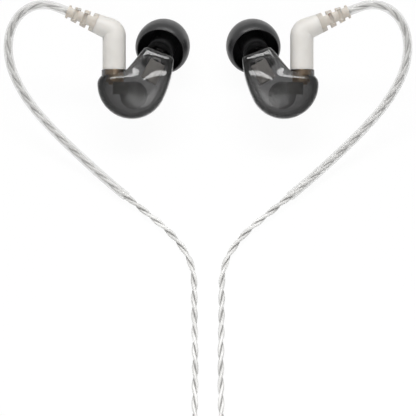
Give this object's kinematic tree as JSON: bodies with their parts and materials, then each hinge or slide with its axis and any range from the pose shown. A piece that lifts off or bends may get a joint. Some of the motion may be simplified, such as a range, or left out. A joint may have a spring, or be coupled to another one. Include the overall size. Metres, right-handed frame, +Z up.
{
  "type": "in-ear monitors",
  "caption": "Wired in-ear monitors: smoked kidney-shaped earpieces with silicone eartips, angled boots, ear hooks and a twisted cable to a stereo plug.",
  "frame": {"origin": "on the surface the object lies on, below the centre of the box round the two earpieces with elbows and strain reliefs", "axes": "+X to the viewer's right across the pair, +Z up, -Y the way the cable runs"},
  "size_m": [0.095, 0.2018, 0.0208],
  "materials": {
    "smoked_shell": "smoked translucent, glossy",
    "black_plastic": "matte",
    "steel": "satin",
    "silicone": "soft matte silicone",
    "clear_tube": "clear, glossy",
    "film": "thin film",
    "copper": "enamelled copper wire",
    "board": "solder mask",
    "gold": "gold plated",
    "milky_plastic": "milky, semi-gloss",
    "warm_rubber": "translucent, satin",
    "cord": "clear jacket on silver wire"
  },
  "bodies": {
    "cable": {"left_elbow": "milky_plastic", "left_strain_relief": "warm_rubber", "left_plug_barrel": "gold", "left_plug_pin": "gold", "left_ear_hook": "clear_tube", "left_cord": "cord", "left_cord_coil": "cord", "left_cord_tail": "cord", "right_elbow": "milky_plastic", "right_strain_relief": "warm_rubber", "right_plug_barrel": "gold", "right_plug_pin": "gold", "right_ear_hook": "clear_tube", "right_cord": "cord", "right_cord_coil": "cord", "right_cord_tail": "cord", "splitter": "milky_plastic", "main_cord": "cord", "main_coil": "cord", "main_tail": "cord", "plug_boot": "warm_rubber", "plug_housing": "milky_plastic", "plug_sleeve_contact": "gold", "plug_ring_contact": "gold", "plug_insulator": "black_plastic", "plug_tip_contact": "gold"},
    "left_snap_ring": {"left_snap_ring": "steel"},
    "left_earpiece": {"left_outer_shell": "smoked_shell", "left_inner_shell": "smoked_shell", "left_nozzle": "black_plastic", "left_nozzle_mesh": "steel", "left_sound_tube": "clear_tube", "left_balanced_armature": "steel", "left_driver_frame": "black_plastic", "left_driver_yoke": "steel", "left_driver_magnet": "steel", "left_crossover_board": "board", "left_jack_body": "gold", "left_jack_contact": "gold"},
    "left_eartip": {"left_eartip": "silicone"},
    "left_diaphragm": {"left_diaphragm": "film", "left_voice_coil": "copper"},
    "right_snap_ring": {"right_snap_ring": "steel"},
    "right_earpiece": {"right_outer_shell": "smoked_shell", "right_inner_shell": "smoked_shell", "right_nozzle": "black_plastic", "right_nozzle_mesh": "steel", "right_sound_tube": "clear_tube", "right_balanced_armature": "steel", "right_driver_frame": "black_plastic", "right_driver_yoke": "steel", "right_driver_magnet": "steel", "right_crossover_board": "board", "right_jack_body": "gold", "right_jack_contact": "gold"},
    "right_eartip": {"right_eartip": "silicone"},
    "right_diaphragm": {"right_diaphragm": "film", "right_voice_coil": "copper"},
    "slider": {"slider": "milky_plastic"}
  },
  "joints": [
    {"name": "left_swivel", "type": "hinge", "parent": "cable", "child": "left_snap_ring", "pos_m": [-0.02177, -0.00367, 0.0125], "axis": [0, 0.866, 0.5], "continuous": true},
    {"name": "left_unplug", "type": "slide", "parent": "left_snap_ring", "child": "left_earpiece", "axis": [0, -0.866, -0.5], "range_m": [0, 0.004]},
    {"name": "left_tip_pull", "type": "slide", "parent": "left_earpiece", "child": "left_eartip", "axis": [0.1606, 0.8235, -0.5441], "range_m": [0, 0.007]},
    {"name": "left_cone_travel", "type": "slide", "parent": "left_earpiece", "child": "left_diaphragm", "axis": [0, -0.5, 0.866], "range_m": [-0.00015, 0.00015], "stiffness_N_per_m": 200},
    {"name": "right_swivel", "type": "hinge", "parent": "cable", "child": "right_snap_ring", "pos_m": [0.02177, -0.00367, 0.0125], "axis": [0, 0.866, 0.5], "continuous": true},
    {"name": "right_unplug", "type": "slide", "parent": "right_snap_ring", "child": "right_earpiece", "axis": [0, -0.866, -0.5], "range_m": [0, 0.004]},
    {"name": "right_tip_pull", "type": "slide", "parent": "right_earpiece", "child": "right_eartip", "axis": [-0.1606, 0.8235, -0.5441], "range_m": [0, 0.007]},
    {"name": "right_cone_travel", "type": "slide", "parent": "right_earpiece", "child": "right_diaphragm", "axis": [0, -0.5, 0.866], "range_m": [-0.00015, 0.00015], "stiffness_N_per_m": 200},
    {"name": "slider_travel", "type": "slide", "parent": "cable", "child": "slider", "axis": [0, 1, 0], "range_m": [-0.004, 0.002]}
  ]
}
